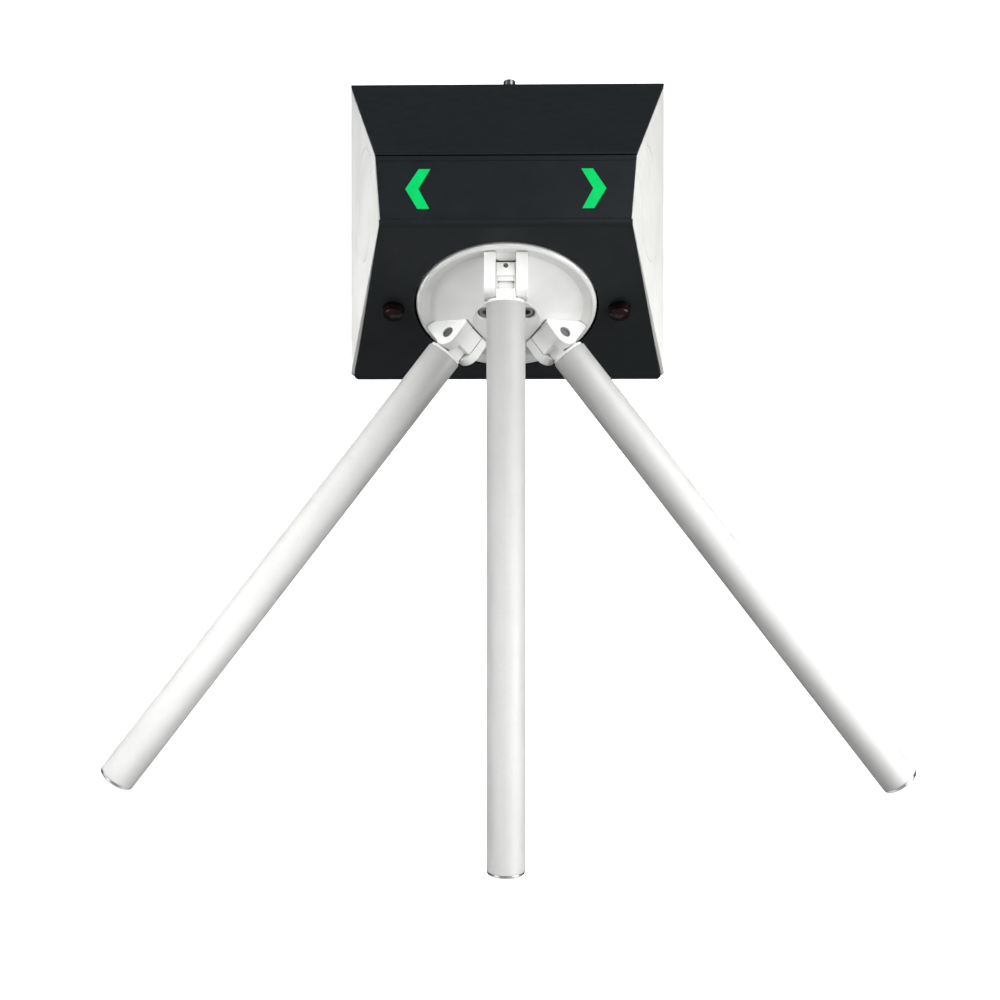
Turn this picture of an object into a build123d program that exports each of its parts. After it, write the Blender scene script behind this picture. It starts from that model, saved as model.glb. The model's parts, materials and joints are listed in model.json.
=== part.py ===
"""Visitor counter turnstile: a wall or post mounted tripod head with three folding arms.

Frame: X across the head, +Y towards the wall, +Z up, millimetres. The origin is the centre of
the back mounting face. The rotor turns about a sloping axis that leaves the lower front panel
square on, and each arm folds about a pin in the rotor. The centre arm is built folded down.
"""

import os
from math import acos, cos, hypot, pi, radians, sin, tan

from build123d import *

os.makedirs("parts", exist_ok=True)

# ---- driving dimensions, housing ----
HALF_WIDTH = 149.5  # at the back
HALF_HEIGHT = 140.0
TRAY_DEPTH = 20.0  # straight-sided back part
UPPER_FOLD = (147.0, 25.7)  # ahead of the tray, height
LOWER_FOLD = (169.0, -39.5)
SIDE_TAPER = 0.292  # the sides close in by this much per millimetre forward
BOTTOM_INSET = 3.4  # the lower cover is narrower than the sides at the bottom edge
SHEET = 2.0  # steel cover sheet
BEND = 3.0  # centre-line bend radius of the covers
SIDE_WALL = 3.0
SIDE_INSET = 3.2  # side wall edges lie this far under the cover's outer face
FIT = 0.4  # gap between assembled sheets

# ---- driving dimensions, rotor ----
HUB_ALONG = 97.4  # from the bottom front edge, up the lower panel, to the rotor axis
HUB_PROUD = 1.8  # rim of the rotor disc above the lower panel
HUB_RADIUS = 78.7
HUB_THICK = 9.0
HUB_OPENING = 80.6
BOSS_RADIUS = 30.0
PIN_CIRCLE = 48.85  # hinge pins from the rotor axis
PIN_HEIGHT = 16.8  # hinge pins above the rim plane
PIN_RADIUS = 4.0
RUNNING = 0.05  # radial clearance of a turning fit
SHAFT_RADIUS = 12.5

# ---- driving dimensions, arms ----
ARM_RADIUS = 16.0
ARM_WALL = 1.5
ARM_OFFSET = 6.3  # tube axis from the hinge pin, outwards
ARM_START = 15.3  # tube end from the hinge pin
ARM_LENGTH = 467.0
LATCHED = 44.25  # angle between the rotor axis and a latched arm
EAR_GAP = 16.4
EAR_THICK = 9.9

# ---- levels along the rotor axis, measured inwards from the rim plane ----
PLATE_TOP = 22.0
PLATE_THICK = 5.0
BEARING_TOP = 29.0
BEARING_WIDTH = 15.0
BEARING_RADIUS = 26.0
HOUSING_END = 77.0
LOCK_LEVEL = 97.0
LOCK_THICK = 6.0
GEAR_LEVEL = 108.0
GEAR_THICK = 8.0
BRIDGE_LEVEL = 113.5
BRIDGE_THICK = 3.0
SHAFT_END = 122.0

# ---- gears and lock ----
MODULE = 1.5
GEAR_TEETH = 48
MOTOR_TEETH = 16
DAMPER_TEETH = 20
LOCK_RADIUS = 50.0
LOCK_NOTCHES = 12
NOTCH_DEPTH = 7.0
NOTCH_WIDTH = 10.0
PAWL_PIVOT = (60.0, 30.0)
PAWL_TAIL = 22.0
PAWL_TRAVEL = 11.0  # degrees

# ---- outline of the housing in the YZ plane ----
TOP_BACK = (0.0, HALF_HEIGHT)
TOP_FRONT = (-TRAY_DEPTH, HALF_HEIGHT)
FOLD_1 = (-TRAY_DEPTH - UPPER_FOLD[0], UPPER_FOLD[1])
FOLD_2 = (-TRAY_DEPTH - LOWER_FOLD[0], LOWER_FOLD[1])
BOTTOM_FRONT = (-TRAY_DEPTH, -HALF_HEIGHT)
BOTTOM_BACK = (0.0, -HALF_HEIGHT)
OUTLINE = [TOP_BACK, TOP_FRONT, FOLD_1, FOLD_2, BOTTOM_FRONT, BOTTOM_BACK]


def unit(start, end):
    """Unit vector from start to end, in two dimensions."""
    length = hypot(end[0] - start[0], end[1] - start[1])
    return ((end[0] - start[0]) / length, (end[1] - start[1]) / length)


def along(start, direction, distance):
    return (start[0] + direction[0] * distance, start[1] + direction[1] * distance)


def inset(points, distance):
    """The closed outline moved inwards by a distance, corners mitred. The points run anticlockwise
    seen with +Y to the right, so that the inside is on the left of each edge."""
    moved = []
    for i, corner in enumerate(points):
        before = unit(points[i - 1], corner)
        after = unit(corner, points[(i + 1) % len(points)])
        normal_1 = (-before[1], before[0])
        normal_2 = (-after[1], after[0])
        scale = distance / (1 + normal_1[0] * normal_2[0] + normal_1[1] * normal_2[1])
        moved.append(
            (
                corner[0] + (normal_1[0] + normal_2[0]) * scale,
                corner[1] + (normal_1[1] + normal_2[1]) * scale,
            )
        )
    return moved


def bent_line(points, radius):
    """Draws, in the open BuildLine, straight runs between the points joined by tangent arcs."""
    start = points[0]
    for before, corner, after in zip(points, points[1:], points[2:]):
        back, onward = unit(corner, before), unit(corner, after)
        half_angle = acos(back[0] * onward[0] + back[1] * onward[1]) / 2
        reach = radius / tan(half_angle)
        middle = unit((0, 0), (back[0] + onward[0], back[1] + onward[1]))
        arc_start = along(corner, back, reach)
        arc_end = along(corner, onward, reach)
        arc_middle = along(corner, middle, radius / sin(half_angle) - radius)
        Line(start, arc_start)
        ThreePointArc(arc_start, arc_middle, arc_end)
        start = arc_end
    Line(start, points[-1])


def beside(points, distance):
    """The open line moved to its left by a distance, corners mitred."""
    first, last = unit(points[0], points[1]), unit(points[-2], points[-1])
    closed = inset(points, distance)
    start = along(points[0], (-first[1], first[0]), distance)
    end = along(points[-1], (-last[1], last[0]), distance)
    return [start, *closed[1:-1], end]


def sheet_section(points):
    """Draws, in the open BuildLine, the closed section of a folded sheet about its middle line,
    which only turns to the left."""
    right = beside(points, -SHEET / 2)
    left = beside(points, SHEET / 2)
    bent_line(right, BEND + SHEET / 2)
    Line(right[-1], left[-1])
    bent_line(left[::-1], BEND - SHEET / 2)
    Line(left[0], right[0])


def side_at(y):
    """Half width of the housing at a place along Y."""
    return HALF_WIDTH - SIDE_TAPER * max(0.0, -TRAY_DEPTH - y)


# ---- planes ----
SLOPE = unit(BOTTOM_FRONT, FOLD_2)  # up the lower panel
SLOPE_UP = Vector(0, SLOPE[0], SLOPE[1])
AXIS_DIR = Vector(1, 0, 0).cross(SLOPE_UP)  # outwards, square to the lower panel
SLOPE_POINT = along(BOTTOM_FRONT, SLOPE, HUB_ALONG)
HUB_CENTRE = Vector(0, SLOPE_POINT[0], SLOPE_POINT[1]) + AXIS_DIR * HUB_PROUD
HUB = Plane(origin=HUB_CENTRE, x_dir=(1, 0, 0), z_dir=AXIS_DIR)
HUB_SECTION = Plane(origin=HUB_CENTRE, x_dir=(1, 0, 0), z_dir=-SLOPE_UP)
HUB_AXIS = Axis(HUB_CENTRE, AXIS_DIR)
PANEL_DIR = unit(FOLD_2, FOLD_1)
PANEL_OUT = Vector(0, -PANEL_DIR[1], PANEL_DIR[0])
PANEL_LENGTH = hypot(FOLD_1[0] - FOLD_2[0], FOLD_1[1] - FOLD_2[1])
PANEL_MIDDLE = along(FOLD_2, PANEL_DIR, PANEL_LENGTH / 2)
PANEL = Plane(origin=(0, *PANEL_MIDDLE), x_dir=(1, 0, 0), z_dir=PANEL_OUT)


def level(depth, x=0.0, up=0.0):
    """Plane square to the rotor axis at a depth behind the rim plane, its origin moved sideways
    by x and up the panel by up. Its normal points outwards."""
    origin = HUB_CENTRE + Vector(1, 0, 0) * x + SLOPE_UP * up - AXIS_DIR * depth
    return Plane(origin=origin, x_dir=(1, 0, 0), z_dir=AXIS_DIR)


def hub_yz(up, depth):
    """The (y, z) of a point in the middle plane, given up the panel and behind the rim plane."""
    point = HUB_CENTRE + SLOPE_UP * up - AXIS_DIR * depth
    return (point.Y, point.Z)


def finish(piece, name):
    """Names a finished sub-part and writes its STEP file."""
    piece.part.label = name
    export_step(piece.part, f"parts/{name}.step")


# =====================================================================================
# Housing shells
# =====================================================================================
INNER_SHEET = inset(OUTLINE, SHEET / 2)
PANEL_DOWN = (-PANEL_DIR[0], -PANEL_DIR[1])
UPPER_LIP = 1.8  # each cover turns this far over its fold, in line with the indicator panel
LOWER_LIP = 4.6
PANEL_THICK = 2.2
PANEL_RECESS = 0.5
PANEL_GAP = 0.9
TRIM_FRONT = FOLD_2[0] - 10.0


def plan_strip(sign, outside, thickness):
    """Corners, in plan, of one side wall: straight beside the tray, then closing in."""
    outer = [(0.0, HALF_WIDTH), (-TRAY_DEPTH, HALF_WIDTH), (TRIM_FRONT, side_at(TRIM_FRONT))]
    corners = [(sign * (x + outside), y) for y, x in outer]
    corners += [(sign * (x - thickness), y) for y, x in reversed(outer)]
    return corners


def plan_outline(back_half, front_half):
    """Corners, in plan, of a cover's trimmed shape, past the back and the front of the housing."""
    corners = [(back_half, 5), (back_half, -TRAY_DEPTH), (front_half, TRIM_FRONT)]
    return corners + [(-x, y) for x, y in reversed(corners)]


def side_wall(sign, edge_inset, outside, thickness):
    """One side wall: the plan strip pulled up, cut to the housing outline."""
    with BuildPart() as wall:
        with BuildSketch(Plane.XY.offset(-HALF_HEIGHT - 5)):
            with BuildLine():
                Polyline(*plan_strip(sign, outside, thickness), close=True)
            make_face()
        extrude(amount=2 * HALF_HEIGHT + 10)
        with BuildSketch(Plane.YZ):
            with BuildLine():
                Polyline(*inset(OUTLINE, edge_inset), close=True)
            make_face()
        extrude(amount=HALF_WIDTH + 10, both=True, mode=Mode.INTERSECT)
    return wall.part


RING_MARK_RADIUS = 50.0
RING_MARK_WIDTH = 1.6
RING_MARK_DEPTH = 0.6
RING_MARK_HEIGHT = 0.0
RING_MARK_DISTANCE = 103.0  # ahead of the back face

for side, sign in (("left", -1), ("right", 1)):
    mark_x = sign * side_at(-RING_MARK_DISTANCE)
    outward = Vector(sign, -SIDE_TAPER, 0).normalized()
    mark_plane = Plane(
        origin=(mark_x, -RING_MARK_DISTANCE, RING_MARK_HEIGHT), x_dir=(0, 0, 1), z_dir=outward
    )
    with BuildPart() as side_cover:
        add(side_wall(sign, SIDE_INSET, 0.0, SIDE_WALL))
        with BuildSketch(mark_plane):
            Circle(RING_MARK_RADIUS)
            Circle(RING_MARK_RADIUS - RING_MARK_WIDTH, mode=Mode.SUBTRACT)
        extrude(amount=-RING_MARK_DEPTH, mode=Mode.SUBTRACT)
    finish(side_cover, f"side_cover_{side}")

side_rooms = [side_wall(sign, SIDE_INSET - 0.5, 20.0, SIDE_WALL + FIT) for sign in (-1, 1)]

KEY_X = 2.0
KEY_Y = -10.0
KEY_HEAD_RADIUS = 5.75
KEY_BODY_RADIUS = 5.0
KEY_TOP = HALF_HEIGHT + 6.7

# the upper cover: top flange, sloping lid and a lip in line with the indicator panel
with BuildPart() as upper_cover:
    with BuildSketch(Plane.YZ):
        with BuildLine():
            sheet_section(
                [
                    (-0.8, INNER_SHEET[0][1]),
                    INNER_SHEET[1],
                    INNER_SHEET[2],
                    along(INNER_SHEET[2], PANEL_DOWN, UPPER_LIP),
                ]
            )
        make_face()
    extrude(amount=HALF_WIDTH + 10, both=True)
    with BuildSketch(Plane.XY.offset(-HALF_HEIGHT)):
        with BuildLine():
            Polyline(*plan_outline(HALF_WIDTH, side_at(TRIM_FRONT)), close=True)
        make_face()
    extrude(amount=2 * HALF_HEIGHT + 10, mode=Mode.INTERSECT)
    for room in side_rooms:
        add(room, mode=Mode.SUBTRACT)
    with BuildSketch(Plane.XY.offset(HALF_HEIGHT - 5)):
        with Locations((KEY_X, KEY_Y)):
            Circle(KEY_BODY_RADIUS + 0.1)
    extrude(amount=10, mode=Mode.SUBTRACT)
finish(upper_cover, "upper_cover")

SENSOR_X = 98.8
SENSOR_HOLE = 8.6
SCREW_SPACING = 92.0

# the lower cover: lip, sloping panel with the rotor opening, bottom flange
with BuildPart() as lower_cover:
    with BuildSketch(Plane.YZ):
        with BuildLine():
            sheet_section(
                [
                    along(INNER_SHEET[3], PANEL_DIR, LOWER_LIP),
                    INNER_SHEET[3],
                    INNER_SHEET[4],
                    (-0.8, INNER_SHEET[5][1]),
                ]
            )
        make_face()
    extrude(amount=HALF_WIDTH + 10, both=True)
    bottom_half = HALF_WIDTH - BOTTOM_INSET
    fold_half = side_at(FOLD_2[0])
    closing = (bottom_half - fold_half) / (BOTTOM_FRONT[0] - FOLD_2[0])
    front_half = bottom_half - closing * (BOTTOM_FRONT[0] - TRIM_FRONT)
    with BuildSketch(Plane.XY.offset(-HALF_HEIGHT - 5)):
        with BuildLine():
            Polyline(*plan_outline(bottom_half, front_half), close=True)
        make_face()
    extrude(amount=2 * HALF_HEIGHT + 10, mode=Mode.INTERSECT)
    for room in side_rooms:
        add(room, mode=Mode.SUBTRACT)
    with BuildSketch(level(15)):
        Circle(HUB_OPENING)
        with Locations((SENSOR_X, 0), (-SENSOR_X, 0)):
            Circle(SENSOR_HOLE + FIT)
    extrude(amount=30, mode=Mode.SUBTRACT)
    with BuildSketch(Plane.XY.offset(-HALF_HEIGHT - 5)):
        with Locations((SCREW_SPACING, -10), (-SCREW_SPACING, -10)):
            Circle(2.2)
    extrude(amount=10, mode=Mode.SUBTRACT)
finish(lower_cover, "lower_cover")

# the arrow outline, tip towards +X when sign is 1
ARROW_TIP = 81.0
ARROW_INNER = 70.2
ARROW_TAIL = 60.9
ARROW_SHOULDER = 70.6
ARROW_HALF_HEIGHT = 18.9


def arrow_outline(sign):
    return [
        (sign * ARROW_TAIL, ARROW_HALF_HEIGHT),
        (sign * ARROW_SHOULDER, ARROW_HALF_HEIGHT),
        (sign * ARROW_TIP, 0),
        (sign * ARROW_SHOULDER, -ARROW_HALF_HEIGHT),
        (sign * ARROW_TAIL, -ARROW_HALF_HEIGHT),
        (sign * ARROW_INNER, 0),
    ]


PANEL_TOP = PANEL_LENGTH / 2 - UPPER_LIP - PANEL_GAP
PANEL_FOOT = -PANEL_LENGTH / 2 + LOWER_LIP + PANEL_GAP
PANEL_BACK = PANEL_RECESS + PANEL_THICK
PANEL_SIDE = 0.1  # the panel's ends lie this far inside the cover's sides
BORDER_DROP = 8.0  # engraved border line, below the upper fold
BORDER_WIDTH = 0.5
BORDER_DEPTH = 0.35

# the indicator panel between the two lips, with arrow windows and a border line
with BuildPart() as indicator_panel:
    with BuildSketch(PANEL.offset(-PANEL_BACK)):
        with BuildLine():
            Polyline(
                (side_at(FOLD_1[0]) - PANEL_SIDE, PANEL_TOP),
                (side_at(FOLD_2[0]) - PANEL_SIDE, PANEL_FOOT),
                (-side_at(FOLD_2[0]) + PANEL_SIDE, PANEL_FOOT),
                (-side_at(FOLD_1[0]) + PANEL_SIDE, PANEL_TOP),
                close=True,
            )
        make_face()
        for sign in (-1, 1):
            with BuildLine():
                Polyline(*arrow_outline(sign), close=True)
            make_face(mode=Mode.SUBTRACT)
    extrude(amount=PANEL_THICK)
    front_edges = indicator_panel.faces().sort_by(Axis((0, 0, 0), PANEL_OUT))[-1].outer_wire().edges()
    chamfer(front_edges, 0.6)
    with BuildSketch(PANEL.offset(-PANEL_RECESS)):
        with Locations((0, PANEL_LENGTH / 2 - BORDER_DROP)):
            Rectangle(2 * HALF_WIDTH, BORDER_WIDTH)
    extrude(amount=-BORDER_DEPTH, mode=Mode.SUBTRACT)
finish(indicator_panel, "indicator_panel")

with BuildPart() as arrow_lenses:
    for sign in (-1, 1):
        with BuildSketch(PANEL.offset(-PANEL_BACK - 1.2)):
            with BuildLine():
                Polyline(*arrow_outline(sign), close=True)
            make_face()
            offset(amount=-0.15)
        extrude(amount=PANEL_THICK + 1.2 - 0.2)
        with BuildSketch(PANEL.offset(-PANEL_BACK - 1.2)):
            with BuildLine():
                Polyline(*arrow_outline(sign), close=True)
            make_face()
            offset(amount=2.0)
        extrude(amount=1.0)
finish(arrow_lenses, "arrow_lenses")

BOARD_HALF_LENGTH = 90.0
BOARD_HALF_HEIGHT = 20.0

# LED board behind the arrows, with a row of lamps behind each and a connector
with BuildPart() as indicator_board:
    with BuildSketch(PANEL.offset(-PANEL_BACK - 6.6)):
        Rectangle(2 * BOARD_HALF_LENGTH, 2 * BOARD_HALF_HEIGHT)
    extrude(amount=1.6)
    with BuildSketch(PANEL.offset(-PANEL_BACK - 5.0)):
        for sign in (-1, 1):
            for row in (-2, -1, 0, 1, 2):
                with Locations((sign * (ARROW_INNER + 3 - 4 * abs(row)), row * 6.5)):
                    Rectangle(3.5, 3.0)
    extrude(amount=1.2)
    with BuildSketch(PANEL.offset(-PANEL_BACK - 6.6)):
        Rectangle(22, 8)
    extrude(amount=-7)
finish(indicator_board, "indicator_board")

# ---- presence sensors on the lower panel ----
PANEL_SKIN = HUB_PROUD  # depth of the lower panel's outer face

with BuildPart() as sensor_bezels:
    for sign in (-1, 1):
        with BuildSketch(level(PANEL_SKIN - 0.05, x=sign * SENSOR_X)):
            Circle(9.9)
            Circle(7.3, mode=Mode.SUBTRACT)
        extrude(amount=3.6, taper=4)
        with BuildSketch(level(PANEL_SKIN + 8, x=sign * SENSOR_X)):
            Circle(SENSOR_HOLE)
            Circle(7.3, mode=Mode.SUBTRACT)
        extrude(amount=8.0 + 0.05)
finish(sensor_bezels, "sensor_bezels")

LENS_RADIUS = 7.1
LENS_CAP_RADIUS = 9.0
LENS_DOME_RADIUS = 8.5
LENS_CAP_FOOT = 3.7  # heights above the panel
LENS_DOME_EDGE = 7.4
LENS_TOP = 10.6


def dome_middle(edge_radius, edge, top):
    """A point half way round a dome about the axis, from its edge to its top."""
    centre = (top * top - edge * edge - edge_radius * edge_radius) / (2 * (top - edge))
    radius = top - centre
    half = acos((edge - centre) / radius) / 2
    return (radius * sin(half), centre + radius * cos(half))


with BuildPart() as sensor_lenses:
    for sign in (-1, 1):
        lens_origin = level(PANEL_SKIN, x=sign * SENSOR_X).origin
        with BuildSketch(Plane(origin=lens_origin, x_dir=(1, 0, 0), z_dir=-SLOPE_UP)):
            with BuildLine():
                Polyline(
                    (0, LENS_TOP),
                    (0, -7.0),
                    (LENS_RADIUS, -7.0),
                    (LENS_RADIUS, LENS_CAP_FOOT),
                    (LENS_CAP_RADIUS, LENS_CAP_FOOT),
                    (LENS_DOME_RADIUS, LENS_DOME_EDGE),
                )
                ThreePointArc(
                    (LENS_DOME_RADIUS, LENS_DOME_EDGE),
                    dome_middle(LENS_DOME_RADIUS, LENS_DOME_EDGE, LENS_TOP),
                    (0, LENS_TOP),
                )
            make_face()
        revolve(axis=Axis(lens_origin, AXIS_DIR))
finish(sensor_lenses, "sensor_lenses")

with BuildPart() as sensor_modules:
    for sign in (-1, 1):
        with BuildSketch(level(PANEL_SKIN + 8.2, x=sign * SENSOR_X)):
            RectangleRounded(18, 22, 2)
        extrude(amount=-10)
        with BuildSketch(level(PANEL_SKIN + 18.2, x=sign * SENSOR_X)):
            Rectangle(8, 5)
        extrude(amount=-5)
finish(sensor_modules, "sensor_modules")

# =====================================================================================
# Frame inside
# =====================================================================================
TRAY_WALL = 2.5
TRAY_HALF_WIDTH = HALF_WIDTH - SIDE_WALL - FIT
TRAY_HALF_HEIGHT = HALF_HEIGHT - SHEET - FIT
MOUNT_X = 220.0
MOUNT_Z = 180.0
MOUNT_HOLE = 4.5
CABLE_X = 0.0
CABLE_Z = -95.0
CABLE_RADIUS = 13.0

# the back tray: mounting plate with a flange all round
with BuildPart() as back_tray:
    with BuildSketch(Plane.XZ):
        RectangleRounded(2 * TRAY_HALF_WIDTH, 2 * TRAY_HALF_HEIGHT, 3)
    extrude(amount=TRAY_DEPTH - 1.0)
    with BuildSketch(Plane.XZ.offset(TRAY_WALL)):
        RectangleRounded(2 * TRAY_HALF_WIDTH - 4, 2 * TRAY_HALF_HEIGHT - 4, 1.5)
    extrude(amount=TRAY_DEPTH, mode=Mode.SUBTRACT)
    with BuildSketch(Plane.XZ):
        with GridLocations(MOUNT_X, MOUNT_Z, 2, 2):
            Circle(MOUNT_HOLE)
        with Locations((CABLE_X, CABLE_Z)):
            Circle(CABLE_RADIUS + 0.1)
    extrude(amount=TRAY_WALL, mode=Mode.SUBTRACT)
    with BuildSketch(Plane.XY.offset(HALF_HEIGHT - 10)):
        with Locations((KEY_X, KEY_Y)):
            Circle(KEY_BODY_RADIUS + 0.1)
    extrude(amount=12, mode=Mode.SUBTRACT)
    with BuildSketch(Plane.XY.offset(-HALF_HEIGHT)):
        with Locations((SCREW_SPACING, -10), (-SCREW_SPACING, -10)):
            Circle(2.05)
    extrude(amount=10, mode=Mode.SUBTRACT)
finish(back_tray, "back_tray")

with BuildPart() as cable_grommet:
    with BuildSketch(Plane.XZ):
        with Locations((CABLE_X, CABLE_Z)):
            Circle(CABLE_RADIUS)
            Circle(CABLE_RADIUS - 3, mode=Mode.SUBTRACT)
    extrude(amount=TRAY_WALL)
    with BuildSketch(Plane.XZ.offset(TRAY_WALL)):
        with Locations((CABLE_X, CABLE_Z)):
            Circle(CABLE_RADIUS + 2.5)
            Circle(CABLE_RADIUS - 3, mode=Mode.SUBTRACT)
    extrude(amount=2.5)
finish(cable_grommet, "cable_grommet")

with BuildPart() as cover_screws:
    for sign in (-1, 1):
        with BuildSketch(Plane.XY.offset(-HALF_HEIGHT)):
            with Locations((sign * SCREW_SPACING, -10)):
                Circle(4.0)
        extrude(amount=-2.2, taper=20)
        with BuildSketch(Plane.XY.offset(-HALF_HEIGHT)):
            with Locations((sign * SCREW_SPACING, -10)):
                Circle(2.0)
        extrude(amount=10)
        with BuildSketch(Plane.XY.offset(-HALF_HEIGHT - 2.2)):
            with Locations((sign * SCREW_SPACING, -10)):
                RegularPolygon(1.3, 6)
        extrude(amount=1.6, mode=Mode.SUBTRACT)
finish(cover_screws, "cover_screws")

# ---- key lock in the top flanges ----
with BuildPart() as lock_barrel:
    with BuildSketch(Plane.XY.offset(HALF_HEIGHT)):
        with Locations((KEY_X, KEY_Y)):
            Circle(KEY_HEAD_RADIUS)
    extrude(amount=KEY_TOP - HALF_HEIGHT)
    fillet(lock_barrel.faces().sort_by(Axis.Z)[-1].edges(), 1.0)
    with BuildSketch(Plane.XY.offset(HALF_HEIGHT - 19)):
        with Locations((KEY_X, KEY_Y)):
            Circle(KEY_BODY_RADIUS)
    extrude(amount=19)
    with BuildSketch(Plane.XY.offset(HALF_HEIGHT - 20)):
        with Locations((KEY_X, KEY_Y)):
            Circle(3.5 + RUNNING)
    extrude(amount=40, mode=Mode.SUBTRACT)
finish(lock_barrel, "lock_barrel")

with BuildPart() as lock_plug:
    with BuildSketch(Plane.XY.offset(HALF_HEIGHT - 20)):
        with Locations((KEY_X, KEY_Y)):
            Circle(3.5)
    extrude(amount=KEY_TOP - HALF_HEIGHT + 20 - 0.4)
    with BuildSketch(Plane.XY.offset(KEY_TOP - 0.4)):
        with Locations((KEY_X, KEY_Y)):
            Rectangle(1.2, 5.0)
    extrude(amount=-9, mode=Mode.SUBTRACT)
finish(lock_plug, "lock_plug")

with BuildPart() as lock_cam:
    with BuildSketch(Plane.XY.offset(HALF_HEIGHT - 23)):
        with Locations((KEY_X, KEY_Y)):
            Circle(6.0)
        with Locations((KEY_X, KEY_Y - 11)):
            Rectangle(9, 22)
    extrude(amount=2.5)
    with BuildSketch(Plane.XY.offset(HALF_HEIGHT - 23)):
        with Locations((KEY_X, KEY_Y)):
            RegularPolygon(4.0, 6)
    extrude(amount=-3)
finish(lock_cam, "lock_cam")

# ---- sloping mechanism plate, its gussets, posts and the bridge plate ----
PLATE_HALF = 78.0
PLATE_LOW = -70.0
PLATE_HIGH = 85.0
GUSSET_X = 80.0
GUSSET_THICK = 3.0
POSTS = [(66, -38), (-66, -38), (66, 72), (-66, 72)]
POST_RADIUS = 5.0

with BuildPart() as mechanism_plate:
    with BuildSketch(level(PLATE_TOP + PLATE_THICK)):
        with Locations((0, (PLATE_LOW + PLATE_HIGH) / 2)):
            RectangleRounded(2 * PLATE_HALF, PLATE_HIGH - PLATE_LOW, 6)
        Circle(BEARING_RADIUS + 4, mode=Mode.SUBTRACT)
        with Locations(*POSTS):
            Circle(2.1, mode=Mode.SUBTRACT)
        with PolarLocations(37, 6, start_angle=30):
            Circle(2.6, mode=Mode.SUBTRACT)
    extrude(amount=PLATE_THICK)
finish(mechanism_plate, "mechanism_plate")

with BuildPart() as gusset_plates:
    for sign in (-1, 1):
        with BuildSketch(Plane.YZ.offset(sign * (GUSSET_X + GUSSET_THICK / 2))):
            with BuildLine():
                Polyline(
                    (-TRAY_WALL - 0.1, -118),
                    hub_yz(PLATE_LOW + 2, PLATE_TOP + PLATE_THICK),
                    hub_yz(PLATE_LOW + 2, PLATE_TOP),
                    hub_yz(48, PLATE_TOP),
                    hub_yz(48, PLATE_TOP + PLATE_THICK),
                    (-TRAY_WALL - 0.1, 10),
                    close=True,
                )
            make_face()
            with Locations((-46, -68)):
                Circle(14, mode=Mode.SUBTRACT)
        extrude(amount=GUSSET_THICK / 2, both=True)
        with BuildSketch(Plane.XZ.offset(TRAY_WALL + 0.1)):
            with Locations((sign * (GUSSET_X + 8), -54)):
                Rectangle(16, 120)
        extrude(amount=2.5)
finish(gusset_plates, "gusset_plates")

with BuildPart() as spacer_posts:
    for place in POSTS:
        with BuildSketch(level(PLATE_TOP + PLATE_THICK)):
            with Locations(place):
                RegularPolygon(POST_RADIUS, 6)
        extrude(amount=-(BRIDGE_LEVEL - PLATE_TOP - PLATE_THICK))
finish(spacer_posts, "spacer_posts")


def mesh_place(teeth, angle):
    """Centre of a pinion in mesh with the main gear, at an angle round the rotor axis."""
    distance = MODULE * (GEAR_TEETH + teeth) / 2
    return (distance * cos(radians(angle)), distance * sin(radians(angle)))


MOTOR_ANGLE = 60.0
DAMPER_ANGLE = 180.0
MOTOR_PLACE = mesh_place(MOTOR_TEETH, MOTOR_ANGLE)
DAMPER_PLACE = mesh_place(DAMPER_TEETH, DAMPER_ANGLE)
SOLENOID_UP = PAWL_PIVOT[1] + PAWL_TAIL

with BuildPart() as bridge_plate:
    with BuildSketch(level(BRIDGE_LEVEL + BRIDGE_THICK)):
        with Locations((0, 19)):
            RectangleRounded(150, 130, 5)
        with Locations((0, SOLENOID_UP)):
            RectangleRounded(226, 28, 4)
        Circle(SHAFT_RADIUS + 4, mode=Mode.SUBTRACT)
        with Locations(MOTOR_PLACE, DAMPER_PLACE):
            Circle(6.0, mode=Mode.SUBTRACT)
    extrude(amount=BRIDGE_THICK)
finish(bridge_plate, "bridge_plate")

# ---- bearing housing and the two bearings ----
with BuildPart() as bearing_housing:
    with BuildSketch(HUB_SECTION):
        with BuildLine():
            Polyline(
                (BEARING_RADIUS + 3.9, -PLATE_TOP),
                (BEARING_RADIUS + 3.9, -(PLATE_TOP + PLATE_THICK)),
                (42, -(PLATE_TOP + PLATE_THICK)),
                (42, -(PLATE_TOP + PLATE_THICK + 7)),
                (BEARING_RADIUS + 6, -(PLATE_TOP + PLATE_THICK + 7)),
                (BEARING_RADIUS + 6, -HOUSING_END),
                (BEARING_RADIUS - 5, -HOUSING_END),
                (BEARING_RADIUS - 5, -(HOUSING_END - 3)),
                (BEARING_RADIUS, -(HOUSING_END - 3)),
                (BEARING_RADIUS, -PLATE_TOP),
                close=True,
            )
        make_face()
    revolve(axis=HUB_AXIS)
    with BuildSketch(level(PLATE_TOP + PLATE_THICK + 7.5)):
        with PolarLocations(37, 6, start_angle=30):
            Circle(2.6)
    extrude(amount=9, mode=Mode.SUBTRACT)
finish(bearing_housing, "bearing_housing")

BEARING_LEVELS = [BEARING_TOP, HOUSING_END - 3 - BEARING_WIDTH]
RING_THICK = 4.0

with BuildPart() as shaft_bearings:
    for top in BEARING_LEVELS:
        with BuildSketch(level(top + BEARING_WIDTH)):
            Circle(BEARING_RADIUS - 0.02)
            Circle(BEARING_RADIUS - RING_THICK, mode=Mode.SUBTRACT)
            Circle(SHAFT_RADIUS + RUNNING + RING_THICK)
            Circle(SHAFT_RADIUS + RUNNING, mode=Mode.SUBTRACT)
        extrude(amount=BEARING_WIDTH)
        with BuildSketch(level(top + BEARING_WIDTH - 1)):
            Circle(BEARING_RADIUS - RING_THICK)
            Circle(SHAFT_RADIUS + RUNNING + RING_THICK, mode=Mode.SUBTRACT)
        extrude(amount=BEARING_WIDTH - 2)
finish(shaft_bearings, "shaft_bearings")

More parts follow.
